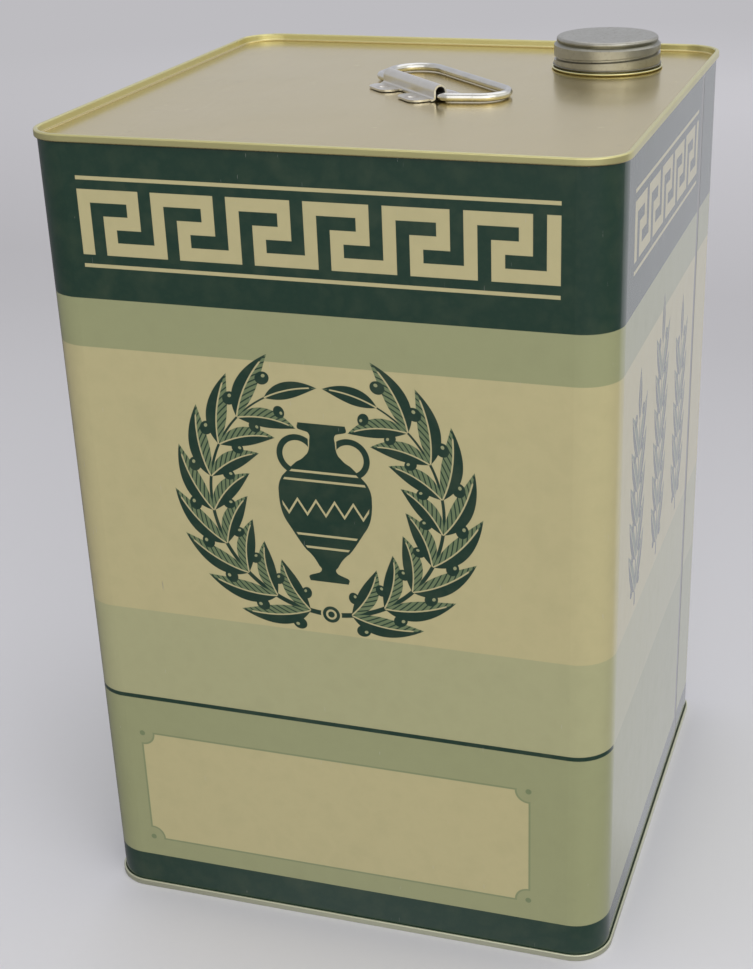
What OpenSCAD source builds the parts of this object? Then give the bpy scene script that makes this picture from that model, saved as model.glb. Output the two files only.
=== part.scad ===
// Square tinplate oil tin with a screw-capped spout and a hinged wire handle.
// Millimetres. +Z is up, the front face looks along -Y, and the origin is the
// middle of the base, on the surface that the bottom seam stands on.

/* [Body] */
// Width between two opposite flat walls, outside
body_w = 235; // [190:1:280]
// Height from the foot of the bottom seam to the top of the top seam
tin_h = 353; // [240:1:420]
// Outside radius of the upright corners
corner_r = 16; // [10:1:30]
// Thickness of the body sheet
body_t = 0.3; // [0.25:0.05:0.45]

/* [Double seams] */
// Thickness of the sheet of both ends
end_t = 0.3; // [0.25:0.05:0.45]
// Height of a finished double seam
seam_h = 3.1; // [2.9:0.1:4]
// Gap between two layers of a seam, which the compound fills
seam_gap = 0.1; // [0.06:0.01:0.14]
// Length of the body hook, from its bend
body_hook = 2; // [1.7:0.1:2.1]
// Length of the cover hook, from its bend
cover_hook = 1.9; // [1.6:0.1:2.1]
// Radius on the two top edges of a seam
seam_edge_r = 0.65; // [0.5:0.05:0.8]
// Depth of an end panel below the top of its seam
countersink = 3.3; // [3:0.1:6]
// Radius where a panel turns up into its chuck wall
panel_r = 1; // [0.6:0.1:1.6]

/* [Side lock seam] */
// Place of the side seam along the right wall, from the middle
lock_y = 69; // [-60:1:80]
// Width of the folded seam
lock_w = 5; // [4:0.5:8]
// Gap between two layers of the side seam
lock_gap = 0.12; // [0.08:0.01:0.2]
// Distance from the double seams at which the folded seam stops
lock_end = 3; // [2:0.5:8]

/* [Bottom end bead] */
// Distance from the wall to the middle of the stiffening bead
bead_in = 14; // [10:1:30]
// Width of the bead
bead_w = 5; // [3:0.5:8]
// Height to which the bead is pressed into the tin
bead_h = 1.2; // [0.6:0.1:2]

/* [Spout neck] */
// Distance of the neck's middle from the right wall and from the back wall
neck_in = 44.9; // [40:0.1:60]
// Outside radius of the neck between its threads
neck_r = 21.8; // [18:0.1:26]
// Thickness of the neck sheet
neck_t = 0.35; // [0.3:0.05:0.4]
// Height of the lip above the top panel
neck_h = 12.35; // [12:0.05:15]
// Amount by which the neck draws in below its lip
lip_draw = 0.7; // [0.6:0.05:0.9]
// Radius of the rolled lip
lip_roll_r = 0.5; // [0.45:0.05:0.6]
// Reach of the clinched base flanges beyond the neck wall
flange_w = 3.1; // [2:0.1:5]
// Gap in the folded base flange
fold_gap = 0.05; // [0.02:0.01:0.08]
// Thickness of the gasket between the base flange and the panel
gasket_t = 0.4; // [0.3:0.05:0.6]
// Distance of the gasket's edge inside the base flange's edge
gasket_in = 1.2; // [0.4:0.1:1.5]
// Clearance of the panel hole round the neck
hole_clear = 0.1; // [0.05:0.05:0.3]

/* [Screw thread] */
// Rise of the thread in one turn
thread_pitch = 6; // [5.5:0.1:6.5]
// Height of the rolled thread, on neck and cap alike
thread_d = 1.35; // [1:0.05:1.4]
// Width of the thread at its root
thread_root_w = 2.4; // [2:0.1:2.6]
// Width of the thread at its crest
thread_crest_w = 1; // [0.8:0.1:1.2]
// Gap along the axis between the neck's thread and the cap's thread under it
thread_seat = 0.5; // [0.3:0.1:0.8]
// Clearance of each crest from the wall that it faces
thread_clear = 0.35; // [0.3:0.05:0.5]
// Height above the panel at which the cap's thread crosses the front
thread_z = 6.2; // [6:0.1:6.6]
// Direction of that crossing, seen from above
thread_dir = -78; // [-180:1:180]
// Angle over which a thread rises from the wall at each of its ends
thread_run = 30; // [15:5:45]

/* [Cap] */
// Thickness of the cap sheet
cap_t = 0.35; // [0.3:0.05:0.4]
// Outside radius of the cap's top
cap_top_r = 22.7; // [22.6:0.05:22.8]
// Radius on the edge of the cap's top
cap_edge_r = 1.2; // [0.8:0.1:1.6]
// Height of the cap's top side wall, down to the retaining groove
cap_crown_h = 2.1; // [1.8:0.1:2.6]
// Depth of the groove that holds the liner
cap_groove_d = 0.3; // [0.2:0.05:0.35]
// Radius of the curled bottom edge
cap_curl_r = 0.4; // [0.36:0.02:0.5]
// Gap between the cap's bottom edge and the folded base flange
cap_foot_gap = 0.4; // [0.3:0.05:0.8]
// Thickness of the liner
liner_t = 1; // [0.6:0.1:1.5]
// Gap between liner and lip, as the cap stands at rest
seal_gap = 0.3; // [0.2:0.05:0.6]
// Clearance of the liner in the cap's top
liner_clear = 0.15; // [0.1:0.05:0.25]

/* [Handle saddle] */
// Distance of the saddle from the middle, along its own axis towards the front right
saddle_u = 2.5; // [-10:0.5:10]
// Distance of the saddle's axis from the middle, towards the spout
saddle_v = 3.5; // [-10:0.5:10]
// Length of the saddle
saddle_len = 47; // [40:1:70]
// Thickness of the saddle sheet
saddle_t = 0.8; // [0.6:0.05:1.2]
// Clearance of the wire to each side wall of the tunnel
tunnel_clear = 0.4; // [0.3:0.05:0.6]
// Height of the tunnel's inside above the panel
tunnel_h = 6; // [5.5:0.1:9]
// Reach of the flanges from the middle of the tunnel
flange_reach = 12.5; // [9:0.5:16]
// Width of each flange lobe
lobe_w = 17; // [12:0.5:18]
// Distance of the lobes from the saddle's two ends
lobe_inset = 1.5; // [1:0.5:4]
// Radius on the corners of a lobe
lobe_r = 5; // [3:0.5:6]
// Radius of the bends between tunnel and flanges
saddle_bend_r = 0.8; // [0.4:0.1:1.2]
// Width of the flange between the lobes
waist_w = 0.6; // [0.3:0.1:2]
// Height of the flanges over the panel, on their weld projections
weld_lift = 0.35; // [0.2:0.05:0.6]
// Radius of a weld projection
weld_r = 1.7; // [1.2:0.1:2.5]
// Distance of the welds from the middle of the tunnel
weld_at = 8.4; // [7:0.1:9]

/* [Handle bail] */
// Diameter of the wire
wire_d = 3.5; // [3:0.1:4]
// Reach of the bail from its hinge, to the wire's middle
bail_reach = 30; // [28:0.5:45]
// Radius of the two outer corners, to the wire's middle
bail_corner_r = 12; // [9:0.5:14]
// Radius of the bends at the hinge, to the wire's middle
bail_bend_r = 5; // [4:0.5:7]
// Length by which the bail can slide in the tunnel each way
bail_play = 3.8; // [1:0.1:5]
// How far the bail has been slid towards the back left, at most its play
bail_slid = 3.5; // [0:0.1:3.5]
// Gap under the wire, at the panel
wire_lift = 0.3; // [0.2:0.05:0.5]
// Gap between the wire's two cut ends, inside the tunnel
wire_cut = 1; // [0.5:0.1:3]

/* [Hidden] */

// Facets of a full circle for small bends, for round parts and for the corners
fn_bend = 24;
fn_round = 120;
fn_corner = 96;
fn_wire = 48;
// Steps of the rolled thread in one turn
fn_thread = 48;

// Reach of a cut beyond what it cuts, and overlap of two shapes of one sheet
over = 1;
lap = 0.01;

// Across the double seam, measured outwards from the body's outer face
cover_x = seam_gap;
hook_x = cover_x + end_t + seam_gap;
wall_x = hook_x + body_t + seam_gap;
seam_out = wall_x + end_t;
chuck_x = -body_t - seam_gap - end_t;
// Bends of the two hooks
body_bend_r = (2 * seam_gap + end_t) / 2;
cover_bend_r = (2 * seam_gap + body_t) / 2;
body_top = -end_t - seam_gap;
// Where the chuck wall turns into the panel's radius
chuck_low = -countersink + panel_r;

// Width of the outside groove at the side seam
lock_groove = 1.5 * body_t + 2 * lock_gap;

// Heights of the top panel and of what stands on it
panel_z = tin_h - countersink;
lip_z = panel_z + neck_h;
flange_z = gasket_t;
fold_z = flange_z + neck_t + fold_gap;
flange_top = fold_z + neck_t;
draw_z = neck_h - 2 * lip_roll_r - lip_draw;
hole_r = neck_r + hole_clear;
neck_at = body_w / 2 - neck_in;

// Cap, measured from its bottom edge
cap_z = panel_z + flange_top + cap_foot_gap;
cap_h = neck_h + seal_gap + liner_t + cap_t - flange_top - cap_foot_gap;
skirt_in = neck_r + thread_d + thread_clear;
skirt_r = skirt_in + cap_t;
groove_z = cap_h - cap_crown_h - cap_groove_d;
shoulder_fall = 0.8;
shoulder_z = groove_z - (skirt_r - cap_top_r + cap_groove_d) * shoulder_fall;

// Threads: heights at the front crossing, and angles at which they end
cap_crest = neck_r + thread_clear;
cap_thread_z = panel_z + thread_z - cap_z;
neck_thread_z = thread_z + (thread_root_w + thread_crest_w) / 2 + thread_seat;
thread_margin = 0.1;
neck_turn_lo = 360 * (flange_top + thread_margin + thread_root_w / 2 - neck_thread_z) / thread_pitch;
neck_turn_hi = 360 * (draw_z - thread_root_w / 2 - neck_thread_z) / thread_pitch;
cap_turn_lo = 360 * (2 * cap_curl_r + thread_root_w / 2 - cap_thread_z) / thread_pitch;
cap_turn_hi = 360 * (shoulder_z - thread_margin - thread_root_w / 2 - cap_thread_z) / thread_pitch;
// Height to which a ridge fades at its ends, and how far its hollow starts off the sheet
ridge_end = 0.05;
hollow_off = 0.5;
hollow_end = 0.3;
// Width of a slanted flank's sheet along the axis, over its thickness
flank = 1.2;

// Handle
wire_r = wire_d / 2;
wire_z = wire_lift + wire_r;
tunnel_in = wire_r + tunnel_clear;
tunnel_out = tunnel_in + saddle_t;
lobe_at = saddle_len / 2 - lobe_w / 2 - lobe_inset;
bail_half = saddle_len / 2 + bail_play;

tin_gold = [0.76, 0.70, 0.46];
print_green = [0.17, 0.26, 0.21];
steel_grey = [0.68, 0.68, 0.66];
wire_bright = [0.80, 0.80, 0.78];
compound_grey = [0.35, 0.36, 0.34];
liner_white = [0.90, 0.89, 0.84];
gasket_red = [0.55, 0.32, 0.22];

// A square with rounded corners
module rounded_square(w, r) {
    square([w, w - 2 * r], center = true);
    square([w - 2 * r, w], center = true);
    for (x = [-1, 1], y = [-1, 1])
        translate([x * (w / 2 - r), y * (w / 2 - r)]) circle(r, $fn = fn_corner);
}

// Runs a profile round a square with rounded corners: x = 0 is its edge, y is height
module run_round(w = body_w) {
    flat = w - 2 * corner_r;
    for (a = [0 : 90 : 270]) rotate(a) {
        translate([w / 2, flat / 2, 0]) rotate([90, 0, 0])
            linear_extrude(flat) children();
        translate([flat / 2, flat / 2, 0]) rotate_extrude(angle = 90, $fn = fn_corner)
            translate([corner_r, 0]) children();
    }
}

// The half ring of sheet that a hook's bend is; up = 1 bends over, -1 under
module hook_bend(r, t, up) {
    difference() {
        circle(r + t, $fn = fn_bend);
        circle(r, $fn = fn_bend);
        translate([-2 * (r + t), up > 0 ? -2 * (r + t) : 0]) square([4 * (r + t), 2 * (r + t)]);
    }
}

// A quarter ring from angle 0 to 90, turned by a
module quarter_ring(r, t, a) {
    rotate(a) difference() {
        circle(r + t, $fn = fn_bend);
        circle(r, $fn = fn_bend);
        translate([-2 * (r + t), -2 * (r + t)]) square([4 * (r + t), 2 * (r + t)]);
        translate([-2 * (r + t), -over]) square([2 * (r + t), 2 * (r + t + over)]);
    }
}

// Body hook in a seam whose top is at y = 0, with the wall down to y = -reach
module body_hook_profile(reach) {
    bend_y = body_top - body_bend_r - body_t;
    translate([-body_t, -reach]) square([body_t, bend_y + reach]);
    translate([body_bend_r, bend_y]) hook_bend(body_bend_r, body_t, 1);
    translate([hook_x, body_top - body_hook]) square([body_t, bend_y - body_top + body_hook]);
}

// The outline of a seam, or of the space inside its outer sheet, down to y = -deep
module seam_outline(inset, deep) {
    x0 = chuck_x + inset;
    x1 = seam_out - inset;
    r = seam_edge_r - inset;
    translate([x0, -deep]) square([x1 - x0, deep - seam_edge_r]);
    translate([x0 + r, -seam_edge_r - lap]) square([x1 - x0 - 2 * r, r + lap]);
    for (x = [x0 + r, x1 - r]) translate([x, -seam_edge_r]) circle(r, $fn = fn_bend);
}

// An end's sheet in its seam: chuck wall, seaming wall, cover hook and panel radius
module end_profile() {
    bend_y = -seam_h + cover_bend_r + end_t;
    difference() {
        seam_outline(0, seam_h);
        seam_outline(end_t, seam_h + over);
        translate([chuck_x + end_t, -seam_h - over]) square([seam_out - chuck_x, bend_y + seam_h + over]);
        translate([chuck_x - over, -seam_h - over])
            square([over + end_t + lap, seam_h + over - seam_edge_r]);
    }
    translate([cover_x + end_t + cover_bend_r, bend_y]) hook_bend(cover_bend_r, end_t, -1);
    translate([cover_x, bend_y - lap]) square([end_t, cover_hook - cover_bend_r - end_t]);
    translate([chuck_x, chuck_low]) square([end_t, -chuck_low - seam_edge_r]);
    translate([chuck_x - panel_r, chuck_low]) quarter_ring(panel_r, end_t, -90);
}

// The flat panel of an end, at its depth under y = 0
module end_panel() {
    in = -chuck_x + panel_r;
    translate([0, 0, -countersink - end_t]) linear_extrude(end_t)
        rounded_square(body_w - 2 * in, corner_r - in);
}

// What fills the top of a seam, round the body's bend
module compound_profile() {
    bend_y = body_top - body_bend_r - body_t;
    difference() {
        seam_outline(end_t, -bend_y);
        translate([body_bend_r, bend_y]) circle(body_bend_r + body_t, $fn = fn_bend);
    }
    translate([chuck_x + end_t, max(-seam_h, chuck_low)])
        square([seam_gap, bend_y - max(-seam_h, chuck_low)]);
}

// Folded side seam in plan: x is depth inwards from the outer face, y along the wall
module lock_layers() {
    step = body_t + lock_gap;
    r_in = body_t / 2 + lock_gap;
    // Hook of the near edge, folded in round the far edge's hook
    translate([body_t + r_in, 0]) hook_bend(r_in, body_t, 1);
    translate([2 * step, -lock_w + step]) square([body_t, lock_w - step]);
    // Far edge: step inwards, inner layer, bend and hook
    translate([0, lock_groove]) square([3 * step + body_t, body_t]);
    translate([3 * step, -lock_w]) square([body_t, lock_w + lock_groove + body_t]);
    translate([step + body_t + r_in, -lock_w]) hook_bend(r_in, body_t, -1);
    translate([step, -lock_w]) square([body_t, lock_w - lock_gap]);
}

// A rolled thread as one helical ridge, from radius r0 in the wall to its crest r1
module thread_ridge(r0, r1, w0, w1, z0, turn_lo, turn_hi, sunk) {
    steps = ceil((turn_hi - turn_lo) * fn_thread / 360);
    out = sign(r1 - r0);
    function fade(t) = max(0, min(1, (t - turn_lo) / thread_run, (turn_hi - t) / thread_run));
    function ring(t) = let (
        z = z0 + thread_pitch * t / 360,
        a = t + thread_dir,
        r = r0 + out * sunk + (r1 - r0 - out * sunk) * fade(t)
    ) [for (p = [[r0, -w0 / 2], [r, -w1 / 2], [r, w1 / 2], [r0, w0 / 2]])
        [p[0] * cos(a), p[0] * sin(a), z + p[1]]];
    rings = [for (i = [0 : steps]) ring(turn_lo + (turn_hi - turn_lo) * i / steps)];
    points = [for (q = rings, p = q) p];
    sides = [for (i = [0 : steps - 1], k = [0 : 3])
        let (a = 4 * i + k, b = 4 * i + (k + 1) % 4)
        each [[a, b, b + 4], [a, b + 4, a + 4]]];
    last = 4 * steps;
    ends = [[0, 2, 1], [0, 3, 2], [last, last + 1, last + 2], [last, last + 2, last + 3]];
    faces = concat(sides, ends);
    polyhedron(points, out > 0 ? faces : [for (f = faces) [f[0], f[2], f[1]]]);
}

module body_shell() {
    lock_z = seam_h + lock_end;
    color(print_green) union() {
        difference() {
            run_round() {
                union() {
                    translate([0, tin_h]) body_hook_profile(tin_h / 2);
                    mirror([0, 1]) body_hook_profile(tin_h / 2);
                }
            }
            // The groove that the folded seam leaves outside
            translate([body_w / 2 - body_t - over, lock_y, lock_z])
                cube([body_t + 2 * over, lock_groove, tin_h - 2 * lock_z]);
        }
        translate([body_w / 2, lock_y, lock_z]) mirror([1, 0, 0])
            linear_extrude(tin_h - 2 * lock_z) lock_layers();
    }
}

module top_end() {
    color(tin_gold) translate([0, 0, tin_h]) difference() {
        union() {
            run_round() end_profile();
            end_panel();
        }
        translate([neck_at, neck_at, -countersink - end_t - over])
            cylinder(h = end_t + 2 * over, r = hole_r, $fn = fn_round);
    }
}

// The stiffening bead's sheet in profile, x = 0 at its middle, pressed towards -y
module bead_profile() {
    half = bead_w / 2;
    flat = half - bead_h;
    outside = [[half, 0], [flat, -bead_h], [-flat, -bead_h], [-half, 0]];
    inside = [for (i = [3 : -1 : 0]) outside[i] - [0, end_t]];
    translate([0, -countersink]) polygon(concat(outside, inside));
}

module bottom_end() {
    bead_mid = body_w - 2 * bead_in;
    color(tin_gold) mirror([0, 0, 1]) {
        run_round() end_profile();
        difference() {
            end_panel();
            translate([0, 0, -countersink - end_t - over]) linear_extrude(end_t + 2 * over) difference() {
                rounded_square(bead_mid + bead_w, corner_r + bead_w / 2);
                rounded_square(bead_mid - bead_w, corner_r - bead_w / 2);
            }
        }
        run_round(bead_mid) bead_profile();
    }
}

module top_seam_compound() {
    color(compound_grey) translate([0, 0, tin_h]) run_round() compound_profile();
}

module bottom_seam_compound() {
    color(compound_grey) mirror([0, 0, 1]) run_round() compound_profile();
}

// Neck sheet from under the panel, through the folded flange, to the rolled lip
module neck_profile() {
    inner = neck_r - neck_t;
    lip_in = inner - lip_draw;
    fold_r = (2 * neck_t + fold_gap) / 2;
    reach = flange_w - fold_r;
    // Flange clinched under the panel
    translate([inner, -end_t - neck_t]) square([neck_t + flange_w, neck_t]);
    translate([inner, -end_t - neck_t]) square([neck_t, end_t + neck_t + flange_z + neck_t]);
    // Folded flange above the gasket
    translate([inner, flange_z]) square([neck_t + reach, neck_t]);
    translate([neck_r + reach, flange_z + fold_r]) rotate(-90) hook_bend(fold_gap / 2, neck_t, 1);
    translate([inner, fold_z]) square([neck_t + reach, neck_t]);
    // Threaded wall, drawn in below the lip
    translate([inner, fold_z]) square([neck_t, draw_z - fold_z]);
    polygon([[inner, draw_z], [neck_r, draw_z], [lip_in + neck_t, draw_z + lip_draw],
             [lip_in, draw_z + lip_draw]]);
    translate([lip_in, draw_z + lip_draw]) square([neck_t, lip_roll_r]);
    translate([lip_in + lip_roll_r, neck_h - lip_roll_r]) difference() {
        circle(lip_roll_r, $fn = fn_bend);
        circle(lip_roll_r - neck_t, $fn = fn_bend);
    }
}

module neck() {
    crest = neck_r + thread_d;
    thin = neck_t * flank;
    color(tin_gold) translate([neck_at, neck_at, panel_z]) difference() {
        union() {
            rotate_extrude($fn = fn_round) neck_profile();
            thread_ridge(neck_r - neck_t / 2, crest, thread_root_w, thread_crest_w,
                         neck_thread_z, neck_turn_lo, neck_turn_hi, ridge_end);
        }
        thread_ridge(neck_r - neck_t - hollow_off, crest - neck_t, thread_root_w - thin,
                     thread_crest_w - thin, neck_thread_z, neck_turn_lo, neck_turn_hi, hollow_end);
    }
}

module neck_gasket() {
    color(gasket_red) translate([neck_at, neck_at, panel_z]) difference() {
        cylinder(h = gasket_t, r = neck_r + flange_w - gasket_in, $fn = fn_round);
        translate([0, 0, -over]) cylinder(h = gasket_t + 2 * over, r = hole_r, $fn = fn_round);
    }
}

// Cap sheet: crown, retaining groove, skirt and curled edge
module cap_profile() {
    groove_r = cap_top_r - cap_groove_d;
    side = [[cap_top_r, cap_h - cap_edge_r], [cap_top_r, groove_z + 2 * cap_groove_d],
            [groove_r, groove_z + cap_groove_d], [groove_r, groove_z],
            [skirt_r - cap_groove_d, shoulder_z + cap_groove_d], [skirt_r, shoulder_z],
            [skirt_r, cap_curl_r]];
    polygon(concat(side, [for (i = [len(side) - 1 : -1 : 0]) side[i] - [cap_t, 0]]));
    translate([0, cap_h - cap_t]) square([cap_top_r - cap_edge_r, cap_t]);
    translate([cap_top_r - cap_edge_r, cap_h - cap_edge_r]) quarter_ring(cap_edge_r - cap_t, cap_t, 0);
    translate([skirt_in + cap_curl_r, cap_curl_r]) difference() {
        circle(cap_curl_r, $fn = fn_bend);
        circle(cap_curl_r - cap_t, $fn = fn_bend);
    }
}

module cap() {
    thin = cap_t * flank;
    color(steel_grey) translate([neck_at, neck_at, cap_z]) difference() {
        union() {
            rotate_extrude($fn = fn_round) cap_profile();
            thread_ridge(skirt_in + cap_t / 2, cap_crest, thread_root_w, thread_crest_w,
                         cap_thread_z, cap_turn_lo, cap_turn_hi, ridge_end);
        }
        thread_ridge(skirt_r + hollow_off, cap_crest + cap_t, thread_root_w - thin,
                     thread_crest_w - thin, cap_thread_z, cap_turn_lo, cap_turn_hi, hollow_end);
    }
}

module cap_liner() {
    liner_r = cap_top_r - cap_t - liner_clear;
    bevel = cap_edge_r - cap_t;
    color(liner_white) translate([neck_at, neck_at, lip_z + seal_gap]) rotate_extrude($fn = fn_round)
        polygon([[0, 0], [liner_r, 0], [liner_r, liner_t - min(bevel, liner_t / 2)],
                 [liner_r - bevel, liner_t], [0, liner_t]]);
}

// Section of the saddle across its axis: x across, y height over the panel
module saddle_section() {
    arch_y = tunnel_h - tunnel_in;
    bend_y = weld_lift + saddle_t + saddle_bend_r;
    translate([0, arch_y]) hook_bend(tunnel_in, saddle_t, 1);
    for (s = [0, 1]) mirror([s, 0]) {
        translate([tunnel_in, bend_y]) square([saddle_t, arch_y - bend_y]);
        translate([tunnel_out + saddle_bend_r, bend_y]) quarter_ring(saddle_bend_r, saddle_t, 180);
        translate([tunnel_out + saddle_bend_r, weld_lift])
            square([flange_reach - tunnel_out - saddle_bend_r, saddle_t]);
    }
}

// Outline of the saddle's blank from above: x along its axis
module saddle_outline() {
    square([saddle_len, 2 * (tunnel_out + saddle_bend_r + waist_w)], center = true);
    for (x = [-lobe_at, lobe_at]) translate([x, 0]) {
        square([lobe_w, 2 * (flange_reach - lobe_r)], center = true);
        square([lobe_w - 2 * lobe_r, 2 * flange_reach], center = true);
        for (i = [-1, 1], j = [-1, 1])
            translate([i * (lobe_w / 2 - lobe_r), j * (flange_reach - lobe_r)]) circle(lobe_r, $fn = fn_wire);
    }
}

// Puts a piece on the panel in the saddle's own axes, u along it and v across it
module on_saddle_axes(u, v) {
    translate([0, 0, panel_z]) rotate(-45) translate([u, v, 0]) children();
}

module handle_saddle() {
    dimple = saddle_t / 2;
    color(steel_grey) on_saddle_axes(saddle_u, saddle_v) difference() {
        union() {
            intersection() {
                translate([-saddle_len / 2, 0, 0]) rotate([90, 0, 90])
                    linear_extrude(saddle_len) saddle_section();
                linear_extrude(tunnel_h + 2 * over) saddle_outline();
            }
            for (x = [-lobe_at, lobe_at], y = [-weld_at, weld_at])
                translate([x, y, 0]) cylinder(h = weld_lift + saddle_t / 2, r = weld_r, $fn = fn_wire);
        }
        // Dimples that the weld projections leave on top
        for (x = [-lobe_at, lobe_at], y = [-weld_at, weld_at])
            translate([x, y, weld_lift + saddle_t - dimple])
                cylinder(h = dimple, r1 = weld_r - dimple, r2 = weld_r, $fn = fn_wire);
    }
}

// Bends a wire along a schedule of [straight length, bend radius, angle of the bend]
module bent_wire(schedule, i = 0) {
    run = schedule[i][0];
    bend_r = schedule[i][1];
    turn = schedule[i][2];
    rotate([0, 90, 0]) cylinder(h = run, r = wire_r, $fn = fn_wire);
    if (turn > 0) translate([run, bend_r, 0]) {
        rotate(-90) rotate_extrude(angle = turn, $fn = fn_corner)
            translate([bend_r, 0]) circle(wire_r, $fn = fn_wire);
        rotate(turn) translate([0, -bend_r, 0]) bent_wire(schedule, i + 1);
    }
}

module handle_bail() {
    // The legs splay along a triangle of sides 3, 4 and 5
    leg_x = 0.6;
    leg_y = 0.8;
    leg_turn = atan2(4, 3);
    leg = (bail_reach - bail_bend_r * (1 - leg_x) - bail_corner_r * (1 + leg_x)) / leg_y;
    far_half = bail_half + bail_bend_r * leg_y + leg * leg_x - bail_corner_r * leg_y;
    inside = bail_half - wire_cut / 2;
    color(wire_bright) on_saddle_axes(saddle_u - bail_slid, saddle_v)
        translate([wire_cut / 2, 0, wire_z]) bent_wire([
            [inside, bail_bend_r, leg_turn],
            [leg, bail_corner_r, 180 - leg_turn],
            [2 * far_half, bail_corner_r, 180 - leg_turn],
            [leg, bail_bend_r, leg_turn],
            [inside, 0, 0]
        ]);
}

body_shell();
top_end();
bottom_end();
top_seam_compound();
bottom_seam_compound();
neck();
neck_gasket();
cap();
cap_liner();
handle_saddle();
handle_bail();
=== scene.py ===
import math

import bpy
from mathutils import Matrix, Vector


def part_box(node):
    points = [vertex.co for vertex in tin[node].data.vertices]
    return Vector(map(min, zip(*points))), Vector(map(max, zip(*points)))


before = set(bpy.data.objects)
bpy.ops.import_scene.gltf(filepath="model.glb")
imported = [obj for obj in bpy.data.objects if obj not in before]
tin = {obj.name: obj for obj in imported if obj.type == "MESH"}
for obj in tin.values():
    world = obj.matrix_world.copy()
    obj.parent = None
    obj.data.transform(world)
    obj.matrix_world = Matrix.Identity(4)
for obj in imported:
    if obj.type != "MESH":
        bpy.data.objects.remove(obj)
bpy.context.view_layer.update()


# The printed wall: one sheet of tinplate, printed flat in three inks over a white coat, varnished,
# folded round a square block and closed by the folded seam on the right. Its pictures are generic:
# a key pattern, a laurel wreath round an amphora, and three laurel sprigs.
class Shade:
    """A value or colour inside a material: arithmetic on it adds Math nodes."""

    def __init__(self, tree, socket):
        self.tree = tree
        self.socket = socket

    def node(self, kind, settings, sockets, output=0):
        """Adds one node of any kind: its settings first, then the values or links of its sockets."""
        made = self.tree.nodes.new(kind)
        for name, value in settings.items():
            if name == "stops":
                points = made.color_ramp.elements
                while len(points) < len(value):
                    points.new(0.5)
                for point, (place, level) in zip(points, value):
                    point.position = place
                    point.color = (level, level, level, 1)
            elif name == "spline":
                made.color_ramp.interpolation = value
            else:
                setattr(made, name, value)
        for key, value in sockets.items():
            if isinstance(value, Shade):
                self.tree.links.new(value.socket, made.inputs[key])
            else:
                made.inputs[key].default_value = value
        return Shade(self.tree, made.outputs[output])

    def math(self, operation, *others, clamp=False):
        """This value, and any others after it, through one Math node."""
        return self.node("ShaderNodeMath", {"operation": operation, "use_clamp": clamp},
                         dict(enumerate((self, *others))))

    def __add__(self, other):
        return self.math("ADD", other)

    def __sub__(self, other):
        return self.math("SUBTRACT", other)

    def __rsub__(self, other):
        return self.math("MULTIPLY_ADD", -1, other)

    def __mul__(self, other):
        return self.math("MULTIPLY", other)

    def __truediv__(self, other):
        return self.math("DIVIDE", other)

    def __abs__(self):
        return self.math("ABSOLUTE")

    __radd__ = __add__
    __rmul__ = __mul__

    def least(self, other):
        return self.math("MINIMUM", other)

    def most(self, other):
        return self.math("MAXIMUM", other)

    def above(self, level, edge=0.2):
        """1 where the value is over a level, 0 under it, with a soft edge."""
        return self.math("MULTIPLY_ADD", 1 / edge, 0.5 - level / edge, clamp=True)

    def below(self, level, edge=0.2):
        """1 where the value is under a level, 0 over it."""
        return self.math("MULTIPLY_ADD", -1 / edge, 0.5 + level / edge, clamp=True)

    def reach(self, other):
        """Distance of a point from the origin, this value and the other being its coordinates."""
        return (self * self + other * other).math("SQRT")

    def between(self, low, high):
        """Low where the mask is 0, high where it is 1, for plain values."""
        return low + (high - low) * self

    def paint(self, under, over):
        """Colour under where the mask is 0, colour over where it is 1."""
        return self.node("ShaderNodeMix", {"data_type": "RGBA"}, {0: self, 6: under, 7: over}, 2)

    def axes(self, scale=1000):
        """The three coordinates of a place, in millimetres."""
        split = self.tree.nodes.new("ShaderNodeSeparateXYZ")
        self.tree.links.new(self.socket, split.inputs[0])
        return [Shade(self.tree, out) * scale for out in split.outputs]

    def stretched(self, x, y, z):
        """The place with its three coordinates multiplied, so that noise on it is drawn out."""
        return self.node("ShaderNodeVectorMath", {"operation": "MULTIPLY"}, {0: self, 1: (x, y, z)})

    def noise(self, size, detail=2.0, rough=0.5):
        """Cloudy values about 0.5, whose clouds are about size millimetres wide."""
        return self.node("ShaderNodeTexNoise", {},
                         {"Vector": self, "Scale": 1000 / size, "Detail": detail, "Roughness": rough})

    def bump(self, depth, under=None):
        """A surface normal from a height that runs from 0 to 1 over depth millimetres."""
        sockets = {"Strength": 1.0, "Distance": depth / 1000, "Height": self}
        if under is not None:
            sockets["Normal"] = under
        return self.node("ShaderNodeBump", {}, sockets)


def linear(red, green, blue):
    """A colour that is written as it looks on screen, from 0 to 255."""
    shares = [c / 255 for c in (red, green, blue)]
    return [*(s / 12.92 if s < 0.04045 else ((s + 0.055) / 1.055) ** 2.4 for s in shares), 1]


def new_material(name, **even):
    """A material, its surface with the even values set on its own sockets, and the place it is at."""
    material = bpy.data.materials.new(name)
    material.use_nodes = True
    surface = material.node_tree.nodes["Principled BSDF"]
    for socket, value in even.items():
        surface.inputs[socket.replace("_", " ")].default_value = value
    where = material.node_tree.nodes.new("ShaderNodeTexCoord").outputs["Object"]
    return material, surface, Shade(material.node_tree, where)


def feed(surface, **varying):
    for socket, value in varying.items():
        value.tree.links.new(value.socket, surface.inputs[socket.replace("_", " ")])


def dress(node, material):
    """Gives a CAD node its material."""
    tin[node].data.materials.clear()
    tin[node].data.materials.append(material)


DARK_GREEN = linear(16, 51, 37)
SAGE = linear(148, 151, 111)
PALE_SAGE = linear(165, 164, 124)
CREAM = linear(182, 173, 129)
LEAF_GREEN = linear(104, 120, 84)
BARE_TIN = linear(190, 188, 182)

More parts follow.
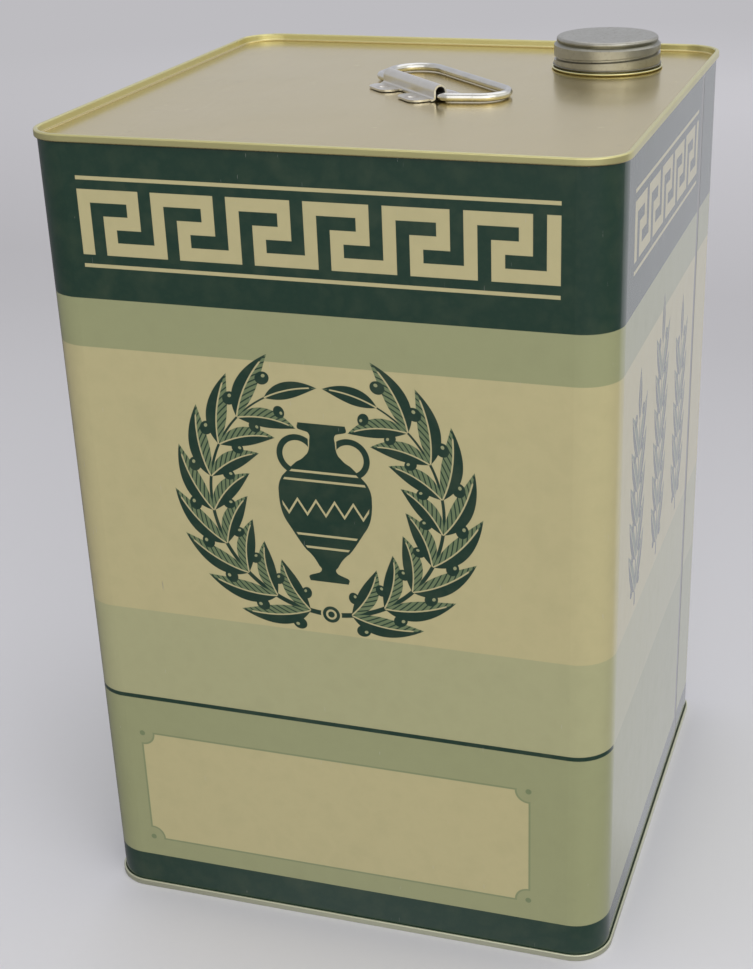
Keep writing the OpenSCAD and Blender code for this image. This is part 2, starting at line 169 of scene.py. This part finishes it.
printed, surface, place = new_material("printed_tinplate", Coat_Weight=1.0, Coat_Roughness=0.06,
                                       Coat_IOR=1.5, IOR=1.45)
x, y, z = place.axes()
on_side = abs(x).math("GREATER_THAN", abs(y))
on_front = 1 - on_side
flat_half = 101.5
seam_y = 67.0
seam_shift = 16.0
u = on_side.between(x, y + seam_shift * x.above(0, 0.01))

# Bands round the tin, by their heights
band_top = 287.9
field_top = 267.4
field_low = 148.7
line_z = 104.0
base_top = 18.3
line = abs(z - line_z).below(1.0) * (1 - on_side * abs(y).below(flat_half + 1.5, 0.5))
dark = z.above(band_top).most(z.below(base_top)).most(line)
colour = z.above(line_z).paint(SAGE, PALE_SAGE)
colour = z.above(field_low).paint(colour, CREAM)
colour = z.above(field_top).paint(colour, SAGE)
colour = dark.paint(colour, DARK_GREEN)

# Bare label panel with notched corners and a small dot at each, on front and back
label_x = -5.0
label_half = 89.5
label_z = 56.6
label_tall = 28.2
notch = 6.0
from_x = abs(u - label_x) - label_half
from_z = abs(z - label_z) - label_tall
corner = from_x.reach(from_z)
panel = from_x.most(from_z).most(notch - corner)
colour = (abs(panel - 0.5).below(0.4) * 0.5 * on_front).paint(colour, LEAF_GREEN)
colour = (panel.below(0) * on_front).paint(colour, CREAM)
colour = (corner.below(1.3) * 0.8 * on_front).paint(colour, LEAF_GREEN)

# Key pattern in the dark band: one line that folds back on itself in each repeat, shorter and
# moved forward on the right, where it stays clear of the side seam as the sprigs do
key_w = on_side.between(5.2, 4.7)
key_z = 319.0
key_repeats = on_side.between(6, 5)
key_half = (key_repeats * 6 + 1) * key_w / 2
along = ((u + key_half) / key_w).math("WRAP", 5.5, -0.5)
up = (z - key_z) / key_w + 2.5
strokes = [(0, 1, 0, 5), (0, 5, 4, 5), (4, 5, 2, 5), (2, 5, 2, 3), (2, 3, 0, 3), (2, 6, 0, 1),
           (-1, 1, 0, 1)]
key = None
for left, right, low, high in strokes:
    bar = (abs(along - (left + right) / 2) - (right - left) / 2).most(
        abs(up - (low + high) / 2) - (high - low) / 2)
    key = bar if key is None else key.least(bar)
rule = abs(abs(z - key_z) - 3.35 * key_w) - 0.75
key = (key * key_w).least(rule).most(abs(u) - key_half)
colour = key.below(0).paint(colour, CREAM)

# Leaves in pairs along a stem: round a circle on front and back, straight up on the sides
wreath_z = 208.0
wreath_r = 50.0
wreath_start = 9.0
leaf_step = 15.4
wreath_leaves = 8
sprig_z = 158.0
sprig_apart = 50.0
sprig_leaves = 5
across_u = abs(u)
turn = across_u.math("ARCTAN2", wreath_z - z)
wreath_n = abs(across_u.reach(z - wreath_z) - wreath_r)
sprig_u = u.math("WRAP", sprig_apart / 2, -sprig_apart / 2)
outer_sprig = across_u.above(sprig_apart / 2)
s = on_side.between(turn * wreath_r - wreath_start, z - sprig_z)
n = on_side.between(wreath_n, abs(sprig_u))
last = leaf_step * on_side.between(wreath_leaves, sprig_leaves + 1 - outer_sprig)
drawn = 1 - on_side * across_u.above(1.5 * sprig_apart)
cell = (s / leaf_step).math("FLOOR")
in_cell = s - cell * leaf_step


def leaf(colour, s, n, tilt, length, width, allowed):
    """Paints a pointed leaf that leaves the stem at s = 0, dark beyond its midrib, veined before it."""
    out = s * math.cos(tilt) + n * math.sin(tilt)
    side = n * math.cos(tilt) - s * math.sin(tilt)
    q = out.math("DIVIDE", length, clamp=True)
    edge = abs(side) - q * (1 - q) * (1.25 - 0.5 * q) * 4 * width + 0.1
    vein = (out - abs(side) * 1.3).math("PINGPONG", 1.5)
    lit = side.below(0.1) * vein.above(0.45, 0.3)
    tone = lit.paint(DARK_GREEN, LEAF_GREEN)
    tone = (abs(side).below(0.3) * q.below(0.86, 0.02)).paint(tone, CREAM)
    return (edge.below(0) * allowed).paint(colour, tone)


tilt = math.radians(34)
foot_of_stem = on_side.between(wreath_start + 1, 6)
stem = (n + s * 0.006).below(1.1) * (s + foot_of_stem).above(0) * (s - last).below(4) * drawn
colour = stem.paint(colour, DARK_GREEN)
first = s.above(0, 0.01)
colour = leaf(colour, in_cell + leaf_step, n, tilt, 29.0, 4.4,
              drawn * s.above(leaf_step, 0.01) * (s - last).below(leaf_step, 0.01))
colour = leaf(colour, in_cell, n, tilt, 29.0, 4.4, drawn * first * (s - last).below(0, 0.01))
colour = leaf(colour, s - last, n, 0.0, 24.0, 3.6, drawn * (s - last).above(0, 0.01))
berry = (in_cell - 3.4).reach(n - 7.6)
fruit = drawn * first * (s - last).below(leaf_step, 0.01)
colour = (berry.below(2.7) * fruit).paint(colour, DARK_GREEN)
colour = ((in_cell - 4.2).reach(n - 8.3).below(0.7) * fruit).paint(colour, SAGE)
knot = across_u.reach(z - wreath_z + wreath_r)
colour = (knot.below(4.6) * on_front).paint(colour, CREAM)
colour = (knot.below(3.8) * on_front).paint(colour, DARK_GREEN)
colour = (abs(knot - 1.9).below(0.45) * on_front).paint(colour, CREAM)

# An amphora inside the wreath, its outline a smooth curve of radius over height
jar_z = 173.0
jar_tall = 70.0
jar_r = 20.0
level = (z - jar_z) / jar_tall
outline = [(0.0, 0.42), (0.035, 0.42), (0.06, 0.2), (0.10, 0.2), (0.2, 0.47), (0.36, 0.84), (0.52, 1.0),
           (0.66, 0.9), (0.76, 0.56), (0.81, 0.34), (0.9, 0.27), (0.945, 0.3), (0.96, 0.5), (1.0, 0.5)]
wall = level.node("ShaderNodeValToRGB", {"stops": outline, "spline": "CARDINAL"}, {0: level})
jar = (across_u - wall * jar_r).most((abs(level - 0.5) - 0.5) * jar_tall)
handle = abs((across_u - 11.0).reach(z - jar_z - 0.8 * jar_tall) - 7.5) - 1.3
jar = jar.least(handle.most(6.0 - across_u))
colour = (jar.below(0) * on_front).paint(colour, DARK_GREEN)
hoops = None
for share in (0.22, 0.30, 0.645, 0.70):
    hoop = abs(level - share) * jar_tall - 0.5
    hoops = hoop if hoops is None else hoops.least(hoop)
wave = across_u.math("PINGPONG", 4.0)
zigzag = abs(z - jar_z - 0.43 * jar_tall - wave * 1.6) - 0.8
trim = hoops.least(zigzag).most(across_u - wall * jar_r + 1.2)
colour = (trim.below(0) * on_front).paint(colour, CREAM)

# Ink film, varnish and wear: uneven ink, rubbed edges by the seams and corners, fine scratches
ink = place.noise(14.0, 4.0, 0.6)
colour = (abs(ink - 0.5) * 0.4).paint(colour, linear(120, 122, 88))
scuff = place.stretched(1, 1, 0.2).noise(3.0, 6.0, 0.7)
middle_z = 176.5
at_seam = abs(z - middle_z).above(middle_z - 5.5, 3.0)
corner_r = 16.0
past_x = (abs(x) - flat_half).most(0)
past_y = (abs(y) - flat_half).most(0)
at_corner = past_x.least(past_y).above(8.0, 6.0)
rubbed = scuff.above(0.69, 0.03) * (at_seam * 0.9).most(at_corner * 0.5)
scratch = place.stretched(3, 3, 0.25).noise(2.2, 1.0).above(0.79, 0.02) * place.noise(60.0).above(0.55, 0.1)
bare = rubbed.most(scratch * 0.5)
inside = past_x.reach(past_y).below(corner_r - 0.2, 0.1)
margin_half = 2.8
margin = x.above(flat_half) * abs(y - seam_y).below(margin_half, 0.4)
bare = bare.most(inside).most(margin)
colour = bare.paint(colour, margin.paint(BARE_TIN, linear(116, 115, 110)))
film = place.noise(0.35, 2.0)
waves = place.stretched(1, 1, 0.45).noise(90.0, 1.0)
feed(surface, Base_Color=colour, Metallic=bare, Roughness=0.30 + 0.12 * ink + 0.1 * scuff,
     Normal=film.bump(0.004, waves.bump(1.6)))
dress("body_shell", printed)

# The two ends: tinplate with a gold lacquer, stamped, curled and double seamed to the wall. The
# rolled sheet keeps faint lines along its rolling direction, and the seaming rolls polish the rim.
GOLD = linear(213, 193, 131)

lacquered, surface, place = new_material("gold_lacquer", Metallic=1.0, Coat_Weight=0.35,
                                         Coat_Roughness=0.12)
z = place.axes()[2]
lines = place.stretched(1, 0.02, 1).noise(0.5, 3.0)
cloud = place.noise(35.0, 3.0, 0.55)
stain = place.noise(7.0, 5.0, 0.65).above(0.66, 0.08) * 0.25
tint = cloud.paint(GOLD, linear(204, 188, 132))
tint = stain.paint(tint, linear(168, 152, 104))
hair = place.stretched(0.4, 3, 1).noise(2.5, 1.0).above(0.78, 0.02)
low_seam_top = 4.0
high_seam_foot = 350.3
foot = z.below(low_seam_top, 0.5)
rim = z.above(high_seam_foot, 0.5).most(foot)
worn = foot.paint(linear(208, 203, 147), linear(198, 200, 176))
tint = rim.paint(tint, (cloud * (0.4 - 0.3 * foot)).paint(worn, linear(182, 170, 116)))
feed(surface, Base_Color=tint, Metallic=1 - 0.3 * rim,
     Roughness=0.17 + 0.08 * lines + 0.07 * cloud + 0.1 * hair + 0.1 * rim,
     Normal=lines.bump(0.0025, place.noise(70.0, 1.0).bump(0.5)))
dress("top_end", lacquered)
dress("bottom_end", lacquered)

# The sealing compound: a rubber paste dried in the curl of each end before seaming.
paste, surface, place = new_material("seam_compound")
grain = place.noise(1.2, 3.0)
feed(surface, Base_Color=grain.paint(linear(72, 74, 70), linear(98, 99, 94)),
     Roughness=0.65 + 0.2 * grain, Normal=grain.bump(0.03))
dress("top_seam_compound", paste)
dress("bottom_seam_compound", paste)

# The neck: drawn from lacquered tinplate, its thread rolled and its foot folded and clinched
# round the hole in the top. The drawing leaves fine rings round it.
NECK_X = sum(corner.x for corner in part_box("neck")) / 2
NECK_Y = sum(corner.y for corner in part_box("neck")) / 2


def round_neck(place):
    """Height in millimetres, and a place for noise from that and the distance to the neck's axis."""
    centred = place.node("ShaderNodeVectorMath", {"operation": "SUBTRACT"},
                         {0: place, 1: (NECK_X, NECK_Y, 0)})
    x, y, z = centred.axes()
    radius = x.reach(y)
    rings = place.node("ShaderNodeCombineXYZ", {}, {0: radius / 1000, 1: z / 1000, 2: 0.0})
    return z, rings


drawn_neck, surface, place = new_material("neck_lacquer", Metallic=1.0, Coat_Weight=0.3,
                                          Coat_Roughness=0.15)
z, rings = round_neck(place)
turned = rings.noise(0.35, 2.0)
cloud = place.noise(9.0, 3.0)
feed(surface, Base_Color=cloud.paint(linear(228, 224, 178), linear(214, 208, 156)),
     Roughness=0.2 + 0.12 * turned + 0.06 * cloud, Normal=turned.bump(0.006))
dress("neck", drawn_neck)

# The gasket: a thin amber rubber ring, squeezed between the neck's folded foot and the panel.
gasket, surface, place = new_material("gasket_rubber")
grain = place.noise(0.8, 3.0)
feed(surface, Base_Color=grain.paint(linear(136, 122, 74), linear(158, 142, 90)),
     Roughness=0.6 + 0.2 * grain, Normal=grain.bump(0.02))
dress("neck_gasket", gasket)

# The screw cap: thin tinned steel, drawn and curled, with its thread and retaining groove rolled
# on a spindle, which leaves fine rings. The tin has dulled in spots. Painted shade darkens the
# retaining groove under the crown, and a painted shadow the lowest edge of the skirt.
cap_steel, surface, place = new_material("tinned_cap", Metallic=1.0)
z, rings = round_neck(place)
turned = rings.noise(0.3, 3.0, 0.6)
cloud = place.noise(6.0, 4.0, 0.6)
dull = place.noise(2.0, 5.0, 0.7).above(0.6, 0.15)
tone = cloud.paint(linear(180, 179, 172), linear(158, 156, 147))
tone = (dull * 0.3).paint(tone, linear(118, 114, 98))
skirt, crown = (corner.z * 1000 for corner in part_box("cap"))
groove_down = 2.2
# Painted shade: the retaining groove under the crown is darkened to a dark olive.
tone = (abs(z - crown + groove_down).below(0.9, 1.0) * 0.65).paint(tone, linear(88, 87, 58))
# Painted shadow: the lowest edge of the skirt is darkened, for the shade in the gap over the neck's foot.
tone = ((z - skirt).below(0.8, 0.8) * 0.8).paint(tone, linear(66, 60, 28))
feed(surface, Base_Color=tone, Roughness=0.26 + 0.14 * turned + 0.12 * dull,
     Normal=turned.bump(0.012, cloud.bump(0.05)))
dress("cap", cap_steel)

# The cap's liner: a disc of pale foam, cut from sheet and snapped in above the groove.
liner, surface, place = new_material("liner_foam")
cells = place.node("ShaderNodeTexVoronoi", {}, {"Vector": place, "Scale": 2200.0})
feed(surface, Base_Color=cells.paint(linear(214, 211, 200), linear(230, 228, 219)),
     Roughness=0.6 + 0.2 * cells, Normal=cells.bump(0.03))
dress("cap_liner", liner)

# The handle's saddle: stamped from bright steel strip, folded into a tunnel over the wire and
# spot welded through its four projections, each with a faint ring of heat colour.
saddle_steel, surface, place = new_material("stamped_steel", Metallic=1.0)
lowest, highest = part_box("handle_saddle")
middle = (lowest + highest) / 2
centred = place.node("ShaderNodeVectorMath", {"operation": "SUBTRACT"}, {0: place, 1: tuple(middle)})
x, y, z = centred.axes()
half_turn = math.sqrt(0.5)
along = (x - y) * half_turn
across = (x + y) * half_turn
weld_along = 13.5
weld_across = 8.4
weld = (abs(along) - weld_along).reach(abs(across) - weld_across)
heat_ring = 2.6
heat = abs(weld - heat_ring).below(0.5, 1.4)
strip = place.node("ShaderNodeCombineXYZ", {}, {0: along / 20000, 1: across / 1000, 2: z / 1000})
lines = strip.noise(0.3, 3.0)
cloud = place.noise(5.0, 3.0)
tone = cloud.paint(linear(226, 224, 219), linear(206, 203, 196))
tone = (heat * 0.35).paint(tone, linear(150, 116, 74))
feed(surface, Base_Color=tone, Roughness=0.2 + 0.14 * lines + 0.08 * cloud, Normal=lines.bump(0.006))
dress("handle_saddle", saddle_steel)

# The handle: drawn steel wire with a bright zinc coat, bent on a former and sprung into the saddle.
wire_zinc, surface, place = new_material("bright_wire", Metallic=1.0)
grain = place.noise(0.5, 3.0, 0.6)
cloud = place.noise(8.0, 3.0)
spangle = place.noise(2.4, 5.0, 0.7).above(0.62, 0.1)
tone = cloud.paint(linear(226, 225, 222), linear(204, 203, 198))
tone = (spangle * 0.3).paint(tone, linear(160, 158, 150))
feed(surface, Base_Color=tone, Roughness=0.13 + 0.12 * grain + 0.1 * spangle, Normal=grain.bump(0.006))
dress("handle_bail", wire_zinc)

# The floor: a pale sheet that fills the view, with painted light on it: lighter in front of the tin
# and far behind, darker between. What shines shows it as a painted reflection, dark in front, where
# the room would be dark, and bright behind. Far off it is one even tone, as the room is.
ROOM_TONE = linear(189, 188, 192)

floor_mesh = bpy.data.meshes.new("floor")
half = 6.0
corners = [(-half, -half, 0), (half, -half, 0), (half, half, 0), (-half, half, 0)]
floor_mesh.from_pydata(corners, [], [(0, 1, 2, 3)])
floor = bpy.data.objects.new("floor", floor_mesh)
bpy.context.scene.collection.objects.link(floor)
paper, surface, place = new_material("floor_paper", Roughness=0.9, Specular_IOR_Level=0.2)
fibre = place.noise(4.0, 4.0)
x, y, z = place.axes()
# Painted light: the sheet's colour is lighter in front and far behind, and darker between.
sheet = y.above(350.0, 1000.0).paint(linear(223, 223, 230), linear(187, 186, 191))
sheet = y.above(1300.0, 1200.0).paint(sheet, linear(221, 220, 227))
feed(surface, Base_Color=(fibre * 0.05).paint(sheet, linear(190, 189, 192)))
lit = (y - 0.84 * x).above(-190.0, 150.0) * x.above(-20.0, 260.0)
mirrored = place.node("ShaderNodeLightPath", {}, {}, "Is Glossy Ray")
direct = place.node("ShaderNodeLightPath", {}, {}, "Is Camera Ray")
far = x.reach(y - 600.0).above(1500.0, 800.0)
shown = mirrored.paint(ROOM_TONE, lit.paint(linear(95, 94, 98), linear(200, 200, 205)))
seen = place.node("ShaderNodeEmission", {}, {"Color": shown})
lit_sheet = Shade(paper.node_tree, surface.outputs[0])
mixed = place.node("ShaderNodeMixShader", {}, {0: mirrored.most(direct * far), 1: lit_sheet, 2: seen})
paper.node_tree.links.new(mixed.socket, paper.node_tree.nodes["Material Output"].inputs[0])
floor_mesh.materials.append(paper)

# Soft studio light: a pale room, warm in front, cool behind and brighter to the right, a large soft box low
# at the front right, a weaker one further right and one above from behind.
world = bpy.data.worlds.new("studio")
bpy.context.scene.world = world
world.use_nodes = True
room = world.node_tree.nodes["Background"]
facing = Shade(world.node_tree, world.node_tree.nodes.new("ShaderNodeTexCoord").outputs["Generated"])
x, y, z = facing.axes(1)
shade = y.above(0.1, 1.4).paint((0.60, 0.585, 0.55, 1), (0.60, 0.61, 0.66, 1))
shade = x.above(0.6, 0.6).paint(shade, (0.95, 0.94, 0.86, 1))
direct = facing.node("ShaderNodeLightPath", {}, {}, "Is Camera Ray")
shade = direct.paint(shade, ROOM_TONE)
world.node_tree.links.new(shade.socket, room.inputs["Color"])


def soft_box(name, place, aim, size, watts):
    lamp = bpy.data.lights.new(name, "AREA")
    lamp.shape = "SQUARE"
    lamp.size = size
    lamp.energy = watts
    holder = bpy.data.objects.new(name, lamp)
    holder.location = place
    holder.rotation_euler = (Vector(aim) - Vector(place)).to_track_quat("-Z", "Y").to_euler()
    bpy.context.scene.collection.objects.link(holder)


soft_box("key_light", (0.7, -2.0, 0.9), (0, 0, 0.1), 3.0, 26.0)
soft_box("fill_light", (1.9, -1.2, 1.4), (0, 0, 0.15), 1.4, 5.0)
soft_box("top_light", (0.2, 0.9, 2.3), (0, 0, 0.2), 2.4, 13.0)

# The camera, where the photograph was taken from.
azimuth = math.radians(17.859)
elevation = math.radians(25.606)
roll = math.radians(-1.522)
distance = 0.80906
target = Vector((0.00573, 0.0, 0.13947))
back = Vector((math.sin(azimuth) * math.cos(elevation), -math.cos(azimuth) * math.cos(elevation),
               math.sin(elevation)))
level_right = (-back).cross(Vector((0, 0, 1))).normalized()
level_up = level_right.cross(-back)
right = level_right * math.cos(roll) + level_up * math.sin(roll)
upward = level_up * math.cos(roll) - level_right * math.sin(roll)
picture_wide = 753
picture_tall = 969
focal_px = 1686.73
middle_px = (429.19, 537.73)
lens = bpy.data.cameras.new("camera")
lens.sensor_width = 36.0
lens.lens = focal_px * lens.sensor_width / picture_tall
lens.shift_x = (picture_wide / 2 - middle_px[0]) / picture_tall
lens.shift_y = (middle_px[1] - picture_tall / 2) / picture_tall
lens.clip_end = 30.0
camera = bpy.data.objects.new("camera", lens)
camera.matrix_world = Matrix.Translation(target + back * distance) @ Matrix(
    (right, upward, back)).transposed().to_4x4()
bpy.context.scene.collection.objects.link(camera)
bpy.context.scene.camera = camera
bpy.context.scene.view_settings.view_transform = "Standard"
